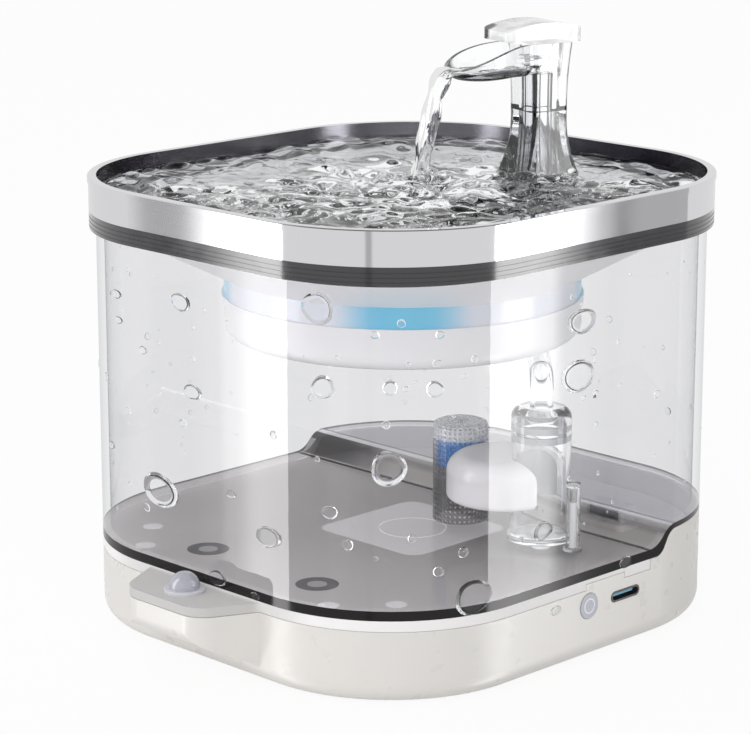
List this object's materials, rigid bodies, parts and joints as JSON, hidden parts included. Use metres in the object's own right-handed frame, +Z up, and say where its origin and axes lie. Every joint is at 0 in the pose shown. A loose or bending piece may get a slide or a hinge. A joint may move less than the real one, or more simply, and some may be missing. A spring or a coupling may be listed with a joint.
{
  "type": "pet water fountain",
  "caption": "Clear rounded-square tank on a white powered base, with a steel drinking tray, a filter cup, a submerged pump and a clear pull-off faucet.",
  "frame": {"origin": "under the middle of the whole object, on the surface it stands on", "axes": "+Z up, -Y towards the side with the sensor nose, +X towards the side with the button and the charging port"},
  "size_m": [0.1938, 0.2246, 0.2195],
  "materials": {
    "base_white": "satin moulded",
    "deck_white": "satin moulded",
    "foot_rubber": "matte",
    "screw_steel": "plain",
    "ring_grey": "satin",
    "pin_pale": "satin",
    "cap_pale": "satin",
    "cover_pale": "satin",
    "ferrite": "matte",
    "copper": "enamelled",
    "dock_white": "satin",
    "dock_dark": "gloss",
    "cell_wrap": "shrink wrap",
    "board_green": "solder mask",
    "chip_black": "matte",
    "button_grey": "satin",
    "button_mark": "satin",
    "switch_black": "matte",
    "port_dark": "gloss",
    "port_tongue": "satin",
    "port_steel": "plated",
    "sensor_grey": "satin",
    "sensor_lens": "frosted",
    "sensor_can": "plain",
    "smoked_plastic": "gloss",
    "tank_clear": "gloss",
    "pump_white": "gloss",
    "inner_clear": "gloss",
    "probe_white": "satin",
    "probe_metal": "plain",
    "cup_rubber": "translucent",
    "rotor_white": "satin",
    "magnet_black": "matte",
    "shaft_steel": "ground",
    "foam_blue": "open-cell foam",
    "seal_grey": "matte",
    "hose_clear": "clear",
    "seat_clear": "gloss, ridged",
    "filter_white": "satin",
    "collar_blue": "gloss",
    "pad_white": "felt",
    "tray_steel": "polished",
    "faucet_clear": "gloss"
  },
  "bodies": {
    "base": {"base_tub": "base_white", "base_deck": "deck_white", "rubber_feet": "foot_rubber", "base_screws": "screw_steel", "locating_rings": "ring_grey", "locating_pins": "pin_pale", "deck_caps": "cap_pale", "coil_cover": "cover_pale", "coil_ferrite": "ferrite", "coil_winding": "copper", "power_dock": "dock_white", "dock_window": "dock_dark", "battery_cells": "cell_wrap", "main_board": "board_green", "board_parts": "chip_black", "mode_switch": "switch_black", "usb_bezel": "port_dark", "usb_tongue": "port_tongue", "usb_shell": "port_steel", "pir_bezel": "sensor_grey", "pir_lens": "sensor_lens", "pir_sensor": "sensor_can"},
    "mode_button": {"mode_button": "button_grey", "button_ring": "button_mark", "switch_plunger": "switch_black"},
    "tank": {"tank_floor": "smoked_plastic", "tank_wall": "tank_clear", "level_sleeve": "inner_clear", "level_rod": "probe_white", "level_contact": "probe_metal", "pump_housing": "pump_white", "pump_cover": "pump_white", "suction_cups": "cup_rubber", "impeller_shaft": "shaft_steel", "outlet_tube": "inner_clear", "outlet_rings": "seal_grey", "riser_hose": "hose_clear"},
    "impeller": {"impeller": "rotor_white", "rotor_magnet": "magnet_black"},
    "strainer": {"strainer_cage": "inner_clear", "filter_foam": "foam_blue"},
    "carrier": {"tray_seat": "seat_clear", "filter_funnel": "filter_white", "filter_collar": "collar_blue", "filter_cup": "filter_white"},
    "filter": {"filter_frame": "filter_white", "filter_pad": "pad_white"},
    "tray": {"steel_tray": "tray_steel"},
    "faucet": {"faucet_pedestal": "faucet_clear", "faucet_tube": "faucet_clear", "spigot_seal": "seal_grey"},
    "faucet_head": {"faucet_head": "faucet_clear", "faucet_cap": "faucet_clear"}
  },
  "joints": [
    {"name": "button_press", "type": "slide", "parent": "base", "child": "mode_button", "axis": [-1, 0, 0], "range_m": [0, 0.0005], "stiffness_N_per_m": 500},
    {"name": "tank_lift", "type": "slide", "parent": "base", "child": "tank", "axis": [0, 0, 1], "range_m": [0, 0.06]},
    {"name": "impeller_spin", "type": "hinge", "parent": "tank", "child": "impeller", "pos_m": [0.039, 0.01015, 0.054], "axis": [0, 0, 1], "continuous": true},
    {"name": "strainer_lift", "type": "slide", "parent": "tank", "child": "strainer", "axis": [0, 0, 1], "range_m": [0, 0.03]},
    {"name": "carrier_lift", "type": "slide", "parent": "tank", "child": "carrier", "axis": [0, 0, 1], "range_m": [0, 0.06]},
    {"name": "filter_lift", "type": "slide", "parent": "carrier", "child": "filter", "axis": [0, 0, 1], "range_m": [0, 0.024]},
    {"name": "tray_lift", "type": "slide", "parent": "carrier", "child": "tray", "axis": [0, 0, 1], "range_m": [0, 0.03]},
    {"name": "faucet_swivel", "type": "hinge", "parent": "tray", "child": "faucet", "pos_m": [0.017, 0.06465, 0.151], "axis": [0, 0, 1], "range_deg": [-90, 90]},
    {"name": "head_lift", "type": "slide", "parent": "faucet", "child": "faucet_head", "axis": [0, 0, 1], "range_m": [0, 0.02]}
  ]
}
